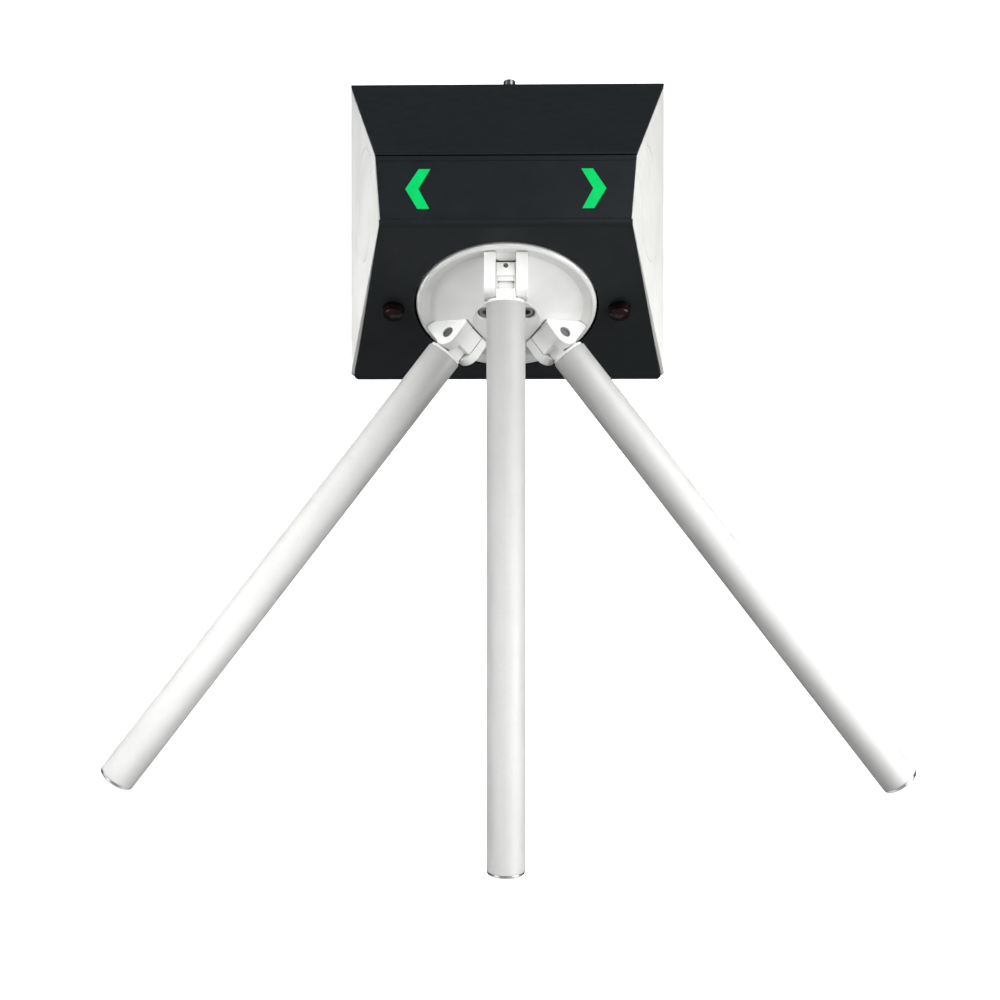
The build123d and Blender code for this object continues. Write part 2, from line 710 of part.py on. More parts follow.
with BuildPart() as housing_screws:
    with BuildSketch(level(PLATE_TOP + PLATE_THICK + 7)):
        with PolarLocations(37, 6, start_angle=30):
            Circle(4.2)
    extrude(amount=-5)
    with BuildSketch(level(PLATE_TOP + PLATE_THICK + 7)):
        with PolarLocations(37, 6, start_angle=30):
            Circle(2.5)
    extrude(amount=11.5)
    with BuildSketch(level(PLATE_TOP + PLATE_THICK + 12)):
        with PolarLocations(37, 6, start_angle=30):
            RegularPolygon(2.2, 6)
    extrude(amount=3, mode=Mode.SUBTRACT)
finish(housing_screws, "housing_screws")

# =====================================================================================
# Rotor
# =====================================================================================
HUB_SCREW_CIRCLE = 20.2
HUB_SCREW_START = 30.0  # angle of the first of three screws
HUB_SCREWS = 3
COUNTERBORE = 7.2
COUNTERBORE_DEPTH = 8.5
BOSS_HEIGHT = 12.5  # flat middle above the rim plane
FACE_SINK = 2.2  # foot of the cone below the rim plane
BEVEL_RADIUS = 66.8  # foot of the cone
RIM_RADIUS = HUB_RADIUS - 4.0
CLEVIS_ANGLES = {"centre": 90, "left": 210, "right": 330}
CLEVIS_HALF = EAR_GAP / 2 + EAR_THICK
TAIL_ROOM = 20.6  # radius about the hinge pin swept free for the knuckle's tail
CLEVIS_SCREW_OUT = EAR_GAP / 2 + EAR_THICK / 2
CLEVIS_SCREWS = [(9.0, 10.0), (-9.0, 15.5)]  # radially from the pin, end above the rim plane


def pin_point(angle):
    """Centre of the hinge pin at an angle round the rotor axis, and the radial direction there."""
    radial = HUB.x_dir * cos(radians(angle)) + HUB.y_dir * sin(radians(angle))
    return HUB_CENTRE + radial * PIN_CIRCLE + AXIS_DIR * PIN_HEIGHT, radial


def disc_profile(lift):
    """Draws, in the open BuildLine, half the section of the rotor disc, its face raised by lift:
    a flat middle, a shallow cone, a rising bevel and a rounded rim."""
    Polyline(
        (0, -HUB_THICK),
        (0, BOSS_HEIGHT + lift),
        (BOSS_RADIUS - 0.8, BOSS_HEIGHT + lift),
        (BOSS_RADIUS, BOSS_HEIGHT - 0.5 + lift),
        (BEVEL_RADIUS, -FACE_SINK + lift),
        (RIM_RADIUS - 1, -0.5 + lift),
        (RIM_RADIUS, lift),
    )
    ThreePointArc((RIM_RADIUS, lift), (HUB_RADIUS - 1.1, -0.9 + lift), (HUB_RADIUS, -3.2 + lift))
    Polyline((HUB_RADIUS, -3.2 + lift), (HUB_RADIUS, -HUB_THICK), (0, -HUB_THICK))


with BuildPart() as hub_disc:
    with BuildSketch(HUB_SECTION):
        with BuildLine():
            disc_profile(0)
        make_face()
    revolve(axis=HUB_AXIS)
    with BuildSketch(level(HUB_THICK)):
        with PolarLocations(HUB_SCREW_CIRCLE, HUB_SCREWS, start_angle=HUB_SCREW_START):
            Circle(4.3)
    extrude(amount=HUB_THICK + BOSS_HEIGHT, mode=Mode.SUBTRACT)
    with BuildSketch(level(-BOSS_HEIGHT)):
        with PolarLocations(HUB_SCREW_CIRCLE, HUB_SCREWS, start_angle=HUB_SCREW_START):
            Circle(COUNTERBORE)
    extrude(amount=-COUNTERBORE_DEPTH, mode=Mode.SUBTRACT)
    with BuildSketch(level(-BOSS_HEIGHT)):
        with PolarLocations(HUB_SCREW_CIRCLE, HUB_SCREWS, start_angle=HUB_SCREW_START):
            Circle(COUNTERBORE + 0.8)
    extrude(amount=-0.8, taper=45, mode=Mode.SUBTRACT)
    for angle in CLEVIS_ANGLES.values():
        pin, radial = pin_point(angle)
        with BuildSketch(Plane(origin=pin, x_dir=radial, z_dir=-AXIS_DIR.cross(radial))):
            Circle(TAIL_ROOM)
        extrude(amount=EAR_GAP / 2, both=True, mode=Mode.SUBTRACT)
        with BuildSketch(level(HUB_THICK)):
            with PolarLocations(PIN_CIRCLE, 1, start_angle=angle):
                with Locations(*[(x, t * CLEVIS_SCREW_OUT) for x, _ in CLEVIS_SCREWS for t in (-1, 1)]):
                    Circle(3.3)
        extrude(amount=HUB_THICK + BOSS_HEIGHT + 5, mode=Mode.SUBTRACT)
finish(hub_disc, "hub_disc")

with BuildPart() as hub_screws:
    with BuildSketch(level(-BOSS_HEIGHT + COUNTERBORE_DEPTH)):
        with PolarLocations(HUB_SCREW_CIRCLE, HUB_SCREWS, start_angle=HUB_SCREW_START):
            Circle(6.0)
    extrude(amount=7.0)
    fillet(hub_screws.faces().sort_by(HUB_AXIS)[-1:-4:-1].edges(), 0.7)
    with BuildSketch(level(HUB_THICK + 10)):
        with PolarLocations(HUB_SCREW_CIRCLE, HUB_SCREWS, start_angle=HUB_SCREW_START):
            Circle(4.0)
    extrude(amount=HUB_THICK + 10 + BOSS_HEIGHT - COUNTERBORE_DEPTH)
    with BuildSketch(level(-BOSS_HEIGHT + 1.5)):
        with PolarLocations(HUB_SCREW_CIRCLE, HUB_SCREWS, start_angle=HUB_SCREW_START):
            RegularPolygon(3.4, 6)
    extrude(amount=-4.5, mode=Mode.SUBTRACT)
finish(hub_screws, "hub_screws")

FLANGE_THICK = 7.0

with BuildPart() as main_shaft:
    with BuildSketch(level(HUB_THICK + FLANGE_THICK)):
        Circle(BOSS_RADIUS)
    extrude(amount=FLANGE_THICK)
    with BuildSketch(level(HUB_THICK + FLANGE_THICK)):
        Circle(SHAFT_RADIUS + 3.5)
    extrude(amount=-(BEARING_TOP - HUB_THICK - FLANGE_THICK - 0.5))
    with BuildSketch(level(SHAFT_END)):
        Circle(SHAFT_RADIUS)
    extrude(amount=SHAFT_END - HUB_THICK - 1)
    with BuildSketch(level(HUB_THICK + 12)):
        with PolarLocations(HUB_SCREW_CIRCLE, HUB_SCREWS, start_angle=HUB_SCREW_START):
            Circle(4.05)
    extrude(amount=12, mode=Mode.SUBTRACT)
    chamfer(main_shaft.faces().sort_by(HUB_AXIS)[0].edges(), 1.0)
finish(main_shaft, "main_shaft")

EAR_RADIUS = 12.2
EAR_INNER_FOOT = (-19.0, -3.2)  # radially from the pin, outwards from the pin
EAR_OUTER_FOOT = (22.5, -14.4)
EAR_SUNK = 10.0  # the blank runs this far into the disc, whose shape is then taken away
BRIDGE = 2.0  # thickness of the strip that joins the two ears, on the disc's face
JOINT_GAP = 0.02


def tangent_point(corner, radius):
    """Where the line from a corner touches a circle about the pin, on the outer side."""
    distance = hypot(corner[0], corner[1])
    reach = radius * radius / distance
    rise = radius * (1 - (radius / distance) ** 2) ** 0.5
    ux, uy = corner[0] / distance, corner[1] / distance
    turn = 1 if corner[0] < 0 else -1
    return (ux * reach + turn * uy * rise, uy * reach - turn * ux * rise)


with BuildPart() as disc_room:
    with BuildSketch(HUB_SECTION):
        with BuildLine():
            disc_profile(JOINT_GAP)
        make_face()
    revolve(axis=HUB_AXIS)

CONE_FALL = (BOSS_HEIGHT - 0.5 + FACE_SINK) / (BEVEL_RADIUS - BOSS_RADIUS)
CONE_AT_PIN = BOSS_HEIGHT - 0.5 - CONE_FALL * (PIN_CIRCLE - BOSS_RADIUS) - PIN_HEIGHT

for name, angle in CLEVIS_ANGLES.items():
    pin, radial = pin_point(angle)
    tangent = AXIS_DIR.cross(radial)
    ear_plane = Plane(origin=pin, x_dir=radial, z_dir=-tangent)
    inner_touch = tangent_point(EAR_INNER_FOOT, EAR_RADIUS)
    outer_touch = tangent_point(EAR_OUTER_FOOT, EAR_RADIUS)
    with BuildPart() as clevis:
        with BuildSketch(ear_plane):
            with BuildLine():
                Polyline(
                    outer_touch,
                    EAR_OUTER_FOOT,
                    (EAR_OUTER_FOOT[0], EAR_OUTER_FOOT[1] - EAR_SUNK),
                    (EAR_INNER_FOOT[0], EAR_INNER_FOOT[1] - EAR_SUNK),
                    EAR_INNER_FOOT,
                    inner_touch,
                )
                ThreePointArc(inner_touch, (0, EAR_RADIUS), outer_touch)
            make_face()
        extrude(amount=CLEVIS_HALF, both=True)
        side_faces = clevis.faces().filter_by(Axis((0, 0, 0), tangent)).sort_by(Axis(pin, tangent))
        chamfer([side_faces[0].outer_wire().edges(), side_faces[-1].outer_wire().edges()], 0.5)
        with BuildSketch(ear_plane):
            with BuildLine():
                Polyline(
                    (-40, CONE_AT_PIN + BRIDGE + CONE_FALL * 40),
                    (40, CONE_AT_PIN + BRIDGE - CONE_FALL * 40),
                    (40, 40),
                    (-40, 40),
                    close=True,
                )
            make_face()
            Circle(TAIL_ROOM)
        extrude(amount=EAR_GAP / 2, both=True, mode=Mode.SUBTRACT)
        with BuildSketch(ear_plane):
            Circle(PIN_RADIUS + 0.02)
        extrude(amount=CLEVIS_HALF + 1, both=True, mode=Mode.SUBTRACT)
        for turn in (-1, 1):
            with BuildSketch(ear_plane.offset(turn * (CLEVIS_HALF - 2.5))):
                Circle(5.2)
            extrude(amount=turn * 3, mode=Mode.SUBTRACT)
        for x, end in CLEVIS_SCREWS:
            with BuildSketch(level(HUB_THICK)):
                with PolarLocations(PIN_CIRCLE, 1, start_angle=angle):
                    with Locations((x, CLEVIS_SCREW_OUT), (x, -CLEVIS_SCREW_OUT)):
                        Circle(3.0 + JOINT_GAP)
            extrude(amount=HUB_THICK + end + 1, mode=Mode.SUBTRACT)
        add(disc_room.part, mode=Mode.SUBTRACT)
    finish(clevis, f"clevis_{name}")

with BuildPart() as clevis_screws:
    for angle in CLEVIS_ANGLES.values():
        for x, end in CLEVIS_SCREWS:
            with BuildSketch(level(HUB_THICK)):
                with PolarLocations(PIN_CIRCLE, 1, start_angle=angle):
                    with Locations((x, CLEVIS_SCREW_OUT), (x, -CLEVIS_SCREW_OUT)):
                        Circle(5.0)
            extrude(amount=-3.0)
            with BuildSketch(level(HUB_THICK)):
                with PolarLocations(PIN_CIRCLE, 1, start_angle=angle):
                    with Locations((x, CLEVIS_SCREW_OUT), (x, -CLEVIS_SCREW_OUT)):
                        Circle(3.0)
            extrude(amount=HUB_THICK + end)
finish(clevis_screws, "clevis_screws")

with BuildPart() as hinge_pins:
    for angle in CLEVIS_ANGLES.values():
        pin, radial = pin_point(angle)
        tangent = AXIS_DIR.cross(radial)
        with BuildSketch(Plane(origin=pin, x_dir=radial, z_dir=tangent)):
            Circle(PIN_RADIUS)
        extrude(amount=CLEVIS_HALF - 1.6, both=True)
finish(hinge_pins, "hinge_pins")

# =====================================================================================
# Arms
# =====================================================================================
NECK_HALF = EAR_GAP / 2 - 0.35
TONGUE_RADIUS = 11.2
COLLAR_BACK = 12.8
COLLAR_RADIUS = 14.8
CAP_DOME = 3.2
SET_SCREW_BACK = 15.5  # behind the pin, in the tail
SET_SCREW_FLOOR = 4.2
# grooves across the outer face: from, to along the arm from the pin, depth
FACE_SLOTS = [(-6.4, -3.5, 0.8), (-2.3, 4.1, 2.5)]
# side view of the knuckle: along the arm from the pin, and inwards from the pin
KNUCKLE_SIDE = [
    (COLLAR_BACK + 0.5, 5.0),
    (4.2, 6.2),
    (2.6, TONGUE_RADIUS),
    (-15.6, TONGUE_RADIUS),
    (-17.6, 9.0),
    (-19.6, 3.0),
    (-19.6, -2.0),
    (-18.8, -5.5),
    (-16.5, -8.0),
    (-6.4, -TONGUE_RADIUS),
    (4.1, -TONGUE_RADIUS),
    (5.0, -13.0),
    (COLLAR_BACK + 0.5, -15.5),
]


def arm_plane(angle, fold):
    """Plane at a hinge pin: normal along the arm, X outwards from the rotor, Y along the pin."""
    pin, radial = pin_point(angle)
    along_arm = AXIS_DIR * cos(radians(fold)) + radial * sin(radians(fold))
    outwards = radial * cos(radians(fold)) - AXIS_DIR * sin(radians(fold))
    return Plane(origin=pin, x_dir=outwards, z_dir=along_arm)


DROPPED = -AXIS_DIR.get_angle(Vector(0, 0, -1))
ARM_FOLDS = {"centre": DROPPED, "left": LATCHED, "right": LATCHED}

for name, fold in ARM_FOLDS.items():
    root = arm_plane(CLEVIS_ANGLES[name], fold)
    tube_plane = Plane(
        origin=root.origin + root.x_dir * ARM_OFFSET, x_dir=root.x_dir, z_dir=root.z_dir
    )
    section = Plane(origin=root.origin, x_dir=root.z_dir, z_dir=-root.y_dir)
    end = ARM_START + ARM_LENGTH

    with BuildPart() as arm_knuckle:
        with BuildSketch(section):
            with BuildLine():
                Polyline(*KNUCKLE_SIDE, close=True)
            make_face()
        extrude(amount=NECK_HALF, both=True)
        with BuildSketch(tube_plane.offset(COLLAR_BACK)):
            Circle(COLLAR_RADIUS)
        extrude(amount=ARM_START - COLLAR_BACK)
        with BuildSketch(tube_plane.offset(ARM_START)):
            Circle(ARM_RADIUS - ARM_WALL - 0.02)
        extrude(amount=34)
        with BuildSketch(section):
            Circle(PIN_RADIUS + RUNNING)
        extrude(amount=NECK_HALF + 1, both=True, mode=Mode.SUBTRACT)
        with BuildSketch(section):
            for start, finish_at, depth in FACE_SLOTS:
                with Locations(((start + finish_at) / 2, -TONGUE_RADIUS - 1 + depth / 2)):
                    Rectangle(finish_at - start, depth + 2)
        extrude(amount=NECK_HALF - 1.0, both=True, mode=Mode.SUBTRACT)
        set_screw_plane = Plane(
            origin=root.origin + root.x_dir * SET_SCREW_FLOOR - root.z_dir * SET_SCREW_BACK,
            x_dir=root.y_dir,
            z_dir=root.x_dir,
        )
        with BuildSketch(set_screw_plane):
            Circle(2.1)
        extrude(amount=12, mode=Mode.SUBTRACT)
    finish(arm_knuckle, f"arm_knuckle_{name}")

    with BuildPart() as arm_set_screw:
        with BuildSketch(set_screw_plane):
            Circle(2.0)
        extrude(amount=3.4)
        with BuildSketch(set_screw_plane.offset(1.4)):
            RegularPolygon(1.2, 6)
        extrude(amount=3, mode=Mode.SUBTRACT)
    finish(arm_set_screw, f"arm_set_screw_{name}")

    with BuildPart() as arm_tube:
        with BuildSketch(tube_plane.offset(ARM_START + 0.4)):
            Circle(ARM_RADIUS)
            Circle(ARM_RADIUS - ARM_WALL, mode=Mode.SUBTRACT)
        extrude(amount=ARM_LENGTH - CAP_DOME - 0.8)
    finish(arm_tube, f"arm_tube_{name}")

    cap_section = Plane(
        origin=tube_plane.origin + tube_plane.z_dir * (end - CAP_DOME),
        x_dir=root.x_dir,
        z_dir=-root.y_dir,
    )
    cap_lip = ARM_RADIUS - 0.1
    with BuildPart() as arm_cap:
        with BuildSketch(cap_section):
            with BuildLine():
                Polyline(
                    (0, CAP_DOME),
                    (0, -14),
                    (ARM_RADIUS - ARM_WALL - 0.05, -14),
                    (ARM_RADIUS - ARM_WALL - 0.05, -0.2),
                    (cap_lip, -0.2),
                    (cap_lip, 0.8),
                )
                ThreePointArc((cap_lip, 0.8), (cap_lip - 0.8, 2.3), (cap_lip - 2.6, CAP_DOME - 0.3))
                Line((cap_lip - 2.6, CAP_DOME - 0.3), (0, CAP_DOME))
            make_face()
        revolve(axis=Axis(cap_section.origin, tube_plane.z_dir))
    finish(arm_cap, f"arm_cap_{name}")

# =====================================================================================
# Drive, lock and counting gear on the shaft
# =====================================================================================
ADDENDUM = 0.9
DEDENDUM = 1.2


def gear_outline(teeth, phase):
    """Corners of a straight-sided spur gear of the set's module. A tooth is centred on phase."""
    pitch = MODULE * teeth / 2
    corners = []
    for tooth in range(teeth):
        centre = radians(phase) + 2 * pi * tooth / teeth
        for radius, half in (
            (pitch - DEDENDUM * MODULE, -0.30),
            (pitch + ADDENDUM * MODULE, -0.13),
            (pitch + ADDENDUM * MODULE, 0.13),
            (pitch - DEDENDUM * MODULE, 0.30),
        ):
            turn = centre + half * 2 * pi / teeth
            corners.append((radius * cos(turn), radius * sin(turn)))
    return corners


def pinion_phase(teeth, angle):
    """Phase that puts a gap of the pinion where the main gear has a tooth, on the line of centres."""
    gear_pitch = 360 / GEAR_TEETH
    off_tooth = (angle / gear_pitch) % 1.0
    return angle + 180 + (0.5 + off_tooth) * 360 / teeth


with BuildPart() as main_gear:
    with BuildSketch(level(GEAR_LEVEL + GEAR_THICK / 2)):
        with BuildLine():
            Polyline(*gear_outline(GEAR_TEETH, 0), close=True)
        make_face()
        Circle(SHAFT_RADIUS + 0.02, mode=Mode.SUBTRACT)
        with PolarLocations(24, 6, start_angle=30):
            Circle(5, mode=Mode.SUBTRACT)
    extrude(amount=GEAR_THICK)
finish(main_gear, "main_gear")

with BuildPart() as lock_disc:
    with BuildSketch(level(LOCK_LEVEL + LOCK_THICK / 2)):
        Circle(LOCK_RADIUS)
        with PolarLocations(LOCK_RADIUS, LOCK_NOTCHES):
            Rectangle(2 * NOTCH_DEPTH, NOTCH_WIDTH, mode=Mode.SUBTRACT)
        Circle(SHAFT_RADIUS + 0.02, mode=Mode.SUBTRACT)
    extrude(amount=LOCK_THICK)
    with BuildSketch(level(LOCK_LEVEL - LOCK_THICK / 2)):
        Circle(SHAFT_RADIUS + 6)
        Circle(SHAFT_RADIUS + 0.02, mode=Mode.SUBTRACT)
    extrude(amount=8)
finish(lock_disc, "lock_disc")

ENCODER_RADIUS = 22.0
ENCODER_LEVEL = 119.5

with BuildPart() as encoder_disc:
    with BuildSketch(level(ENCODER_LEVEL + 0.5)):
        Circle(ENCODER_RADIUS)
        with PolarLocations(ENCODER_RADIUS - 3, 36):
            Rectangle(4, 1.6, mode=Mode.SUBTRACT)
        Circle(SHAFT_RADIUS + 0.02, mode=Mode.SUBTRACT)
    extrude(amount=1.0)
finish(encoder_disc, "encoder_disc")

# a fork over the disc's lower edge, on a small board
with BuildPart() as encoder_sensor:
    with BuildSketch(level(BRIDGE_LEVEL + BRIDGE_THICK, up=-23.5)):
        Rectangle(10, 13)
    extrude(amount=-8)
    with BuildSketch(level(ENCODER_LEVEL + 1.6, up=-20.0)):
        Rectangle(20, 12)
    extrude(amount=3.2, mode=Mode.SUBTRACT)
    with BuildSketch(level(BRIDGE_LEVEL + BRIDGE_THICK, up=-32)):
        Rectangle(14, 6)
    extrude(amount=-1.6)
finish(encoder_sensor, "encoder_sensor")

PINION_SPINDLE = 3.0


def drive_pinion(teeth, angle, place):
    """A pinion with its spindle, which runs through the bridge plate into its motor or damper."""
    with BuildPart() as pinion:
        with BuildSketch(level(GEAR_LEVEL + GEAR_THICK / 2, *place)):
            with BuildLine():
                Polyline(*gear_outline(teeth, pinion_phase(teeth, angle)), close=True)
            make_face()
        extrude(amount=GEAR_THICK)
        with BuildSketch(level(GEAR_LEVEL + GEAR_THICK / 2, *place)):
            Circle(PINION_SPINDLE)
        extrude(amount=-14)
    return pinion


BODY_LEVEL = BRIDGE_LEVEL + BRIDGE_THICK

with BuildPart() as motor_pinion:
    add(drive_pinion(MOTOR_TEETH, MOTOR_ANGLE, MOTOR_PLACE).part)
finish(motor_pinion, "motor_pinion")

with BuildPart() as damper_pinion:
    add(drive_pinion(DAMPER_TEETH, DAMPER_ANGLE, DAMPER_PLACE).part)
finish(damper_pinion, "damper_pinion")

with BuildPart() as gear_motor:
    with BuildSketch(level(BODY_LEVEL, *MOTOR_PLACE)):
        Circle(18.5)
    extrude(amount=-22)
    with BuildSketch(level(BODY_LEVEL + 22, *MOTOR_PLACE)):
        Circle(16.5)
    extrude(amount=-26)
    with BuildSketch(level(BODY_LEVEL + 48, *MOTOR_PLACE)):
        with Locations((0, 8), (0, -8)):
            Rectangle(5, 1.2)
    extrude(amount=-5)
    with BuildSketch(level(BODY_LEVEL, *MOTOR_PLACE)):
        Circle(PINION_SPINDLE + RUNNING)
    extrude(amount=-14, mode=Mode.SUBTRACT)
finish(gear_motor, "gear_motor")

with BuildPart() as rotary_damper:
    with BuildSketch(level(BODY_LEVEL, *DAMPER_PLACE)):
        Circle(15)
        Rectangle(12, 44)
    extrude(amount=-3)
    with BuildSketch(level(BODY_LEVEL, *DAMPER_PLACE)):
        Circle(15)
    extrude(amount=-14)
    with BuildSketch(level(BODY_LEVEL, *DAMPER_PLACE)):
        Circle(PINION_SPINDLE + RUNNING)
    extrude(amount=-10, mode=Mode.SUBTRACT)
finish(rotary_damper, "rotary_damper")

PAWL_THICK = 5.0
PAWL_PIN = 3.0
FORK_HALF = 6.5
NOSE_GAP = 0.9
SOLENOID_X = 94.5

for side, sign in (("left", -1), ("right", 1)):
    pivot_x = sign * PAWL_PIVOT[0]
    with BuildPart() as pawl:
        with BuildSketch(level(LOCK_LEVEL + PAWL_THICK / 2)):
            with BuildLine():
                Polyline(
                    (sign * (LOCK_RADIUS + NOSE_GAP), -3.8),
                    (sign * (LOCK_RADIUS + NOSE_GAP + 8), -4.6),
                    (sign * (PAWL_PIVOT[0] + 5.5), PAWL_PIVOT[1] - 8),
                    (sign * (PAWL_PIVOT[0] + 4.5), SOLENOID_UP),
                    (sign * (PAWL_PIVOT[0] - 4.5), SOLENOID_UP),
                    (sign * (PAWL_PIVOT[0] - 5.5), PAWL_PIVOT[1] - 6),
                    (sign * (LOCK_RADIUS + NOSE_GAP + 6.1), 3.0),
                    (sign * (LOCK_RADIUS + NOSE_GAP), 1.4),
                    close=True,
                )
            make_face()
            with Locations((pivot_x, PAWL_PIVOT[1])):
                Circle(7.5)
            with Locations((pivot_x, SOLENOID_UP)):
                Circle(4.5)
            with Locations((pivot_x, PAWL_PIVOT[1])):
                Circle(PAWL_PIN + RUNNING, mode=Mode.SUBTRACT)
            with Locations((pivot_x, SOLENOID_UP)):
                Circle(2.4, mode=Mode.SUBTRACT)
        extrude(amount=PAWL_THICK)
    finish(pawl, f"lock_pawl_{side}")

    with BuildPart() as plunger:
        fork_plane = level(LOCK_LEVEL, pivot_x, SOLENOID_UP)
        with BuildSketch(level(LOCK_LEVEL + FORK_HALF, pivot_x + sign * 3.0, SOLENOID_UP)):
            Rectangle(14, 8)
        extrude(amount=2 * FORK_HALF)
        with BuildSketch(level(LOCK_LEVEL + PAWL_THICK / 2 + 0.5, pivot_x, SOLENOID_UP)):
            Rectangle(14, 12)
        extrude(amount=PAWL_THICK + 1.0, mode=Mode.SUBTRACT)
        with BuildSketch(level(LOCK_LEVEL + FORK_HALF, pivot_x, SOLENOID_UP)):
            Circle(1.5)
        extrude(amount=2 * FORK_HALF)
        rod_plane = Plane(
            origin=fork_plane.origin + Vector(1, 0, 0) * sign * 10,
            x_dir=SLOPE_UP,
            z_dir=(sign, 0, 0),
        )
        with BuildSketch(rod_plane):
            Circle(5.0)
        extrude(amount=30)
    finish(plunger, f"solenoid_plunger_{side}")

with BuildPart() as lock_solenoids:
    for sign in (-1, 1):
        bore_plane = Plane(
            origin=level(LOCK_LEVEL, sign * (PAWL_PIVOT[0] + 17), SOLENOID_UP).origin,
            x_dir=SLOPE_UP,
            z_dir=(sign, 0, 0),
        )
        with BuildSketch(level(BRIDGE_LEVEL, sign * SOLENOID_X, SOLENOID_UP)):
            Rectangle(33, 22)
        extrude(amount=BRIDGE_LEVEL - LOCK_LEVEL + 11)
        with BuildSketch(bore_plane):
            Circle(5.3)
        extrude(amount=30, mode=Mode.SUBTRACT)
finish(lock_solenoids, "lock_solenoids")

with BuildPart() as pawl_pins:
    for sign in (-1, 1):
        with BuildSketch(level(BRIDGE_LEVEL, sign * PAWL_PIVOT[0], PAWL_PIVOT[1])):
            Circle(PAWL_PIN)
        extrude(amount=BRIDGE_LEVEL - LOCK_LEVEL + PAWL_THICK / 2 + 2)
        with BuildSketch(level(BRIDGE_LEVEL, sign * PAWL_PIVOT[0], PAWL_PIVOT[1])):
            Circle(6)
        extrude(amount=BRIDGE_LEVEL - LOCK_LEVEL - PAWL_THICK / 2 - 0.4)
finish(pawl_pins, "pawl_pins")

# =====================================================================================
# Electronics on the tray
# =====================================================================================
BOARD_Y = TRAY_WALL + 8.0
BOARD_SIZE = (120.0, 62.0)
BOARD_Z = 72.0

with BuildPart() as board_spacers:
    with BuildSketch(Plane.XZ.offset(TRAY_WALL)):
        with Locations((0, BOARD_Z)):
            with GridLocations(BOARD_SIZE[0] - 10, BOARD_SIZE[1] - 10, 2, 2):
                RegularPolygon(3.2, 6)
    extrude(amount=8.0)
finish(board_spacers, "board_spacers")

with BuildPart() as control_board:
    with BuildSketch(Plane.XZ.offset(BOARD_Y)):
        with Locations((0, BOARD_Z)):
            Rectangle(*BOARD_SIZE)
    extrude(amount=1.6)
    with BuildSketch(Plane.XZ.offset(BOARD_Y + 1.6)):
        with Locations((-35, BOARD_Z + 8), (-15, BOARD_Z + 8)):
            Rectangle(15, 19)
    extrude(amount=13)
    with BuildSketch(Plane.XZ.offset(BOARD_Y + 1.6)):
        with Locations((18, BOARD_Z + 6)):
            Rectangle(14, 14)
        with Locations((38, BOARD_Z + 10), (38, BOARD_Z - 4)):
            Rectangle(9, 6)
    extrude(amount=1.8)
    with BuildSketch(Plane.XZ.offset(BOARD_Y + 1.6)):
        with Locations((50, BOARD_Z + 20), (50, BOARD_Z + 4)):
            Circle(4.0)
    extrude(amount=11)
finish(control_board, "control_board")

with BuildPart() as terminal_block:
    with BuildSketch(Plane.XZ.offset(BOARD_Y + 1.7)):
        with Locations((0, BOARD_Z - 24)):
            Rectangle(90, 8)
    extrude(amount=10)
    with BuildSketch(Plane.XZ.offset(BOARD_Y + 11.7)):
        with Locations((0, BOARD_Z - 24)):
            with GridLocations(7.5, 1, 12, 1):
                Circle(2.0)
    extrude(amount=-2, mode=Mode.SUBTRACT)
finish(terminal_block, "terminal_block")
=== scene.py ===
"""Looks of the tripod turnstile head: materials, small extra pieces, floor, lights and camera.

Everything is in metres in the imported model's frame: X across, +Y towards the wall, +Z up.
"""

import json
from math import cos, pi, radians, sin

import bmesh
import bpy
from mathutils import Matrix, Vector

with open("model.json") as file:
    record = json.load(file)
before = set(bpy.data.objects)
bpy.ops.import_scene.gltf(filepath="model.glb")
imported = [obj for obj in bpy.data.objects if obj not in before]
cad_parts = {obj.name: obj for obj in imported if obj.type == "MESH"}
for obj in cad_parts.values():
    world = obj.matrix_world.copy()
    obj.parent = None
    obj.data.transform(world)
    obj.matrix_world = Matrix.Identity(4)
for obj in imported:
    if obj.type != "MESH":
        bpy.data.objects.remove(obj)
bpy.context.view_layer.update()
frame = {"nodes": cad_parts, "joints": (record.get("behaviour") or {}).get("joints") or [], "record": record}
NODES = frame["nodes"]
JOINTS = {joint["name"]: joint for joint in frame["joints"]}
SCENE = bpy.context.scene
MM = 0.001

# ---- the rotor's own directions, from its joint ----
HUB_CENTRE = Vector(JOINTS["hub_spin"]["pos_m"])
HUB_OUT = Vector(JOINTS["hub_spin"]["axis"]).normalized()
ACROSS = Vector((1, 0, 0))
HUB_UP = HUB_OUT.cross(ACROSS)


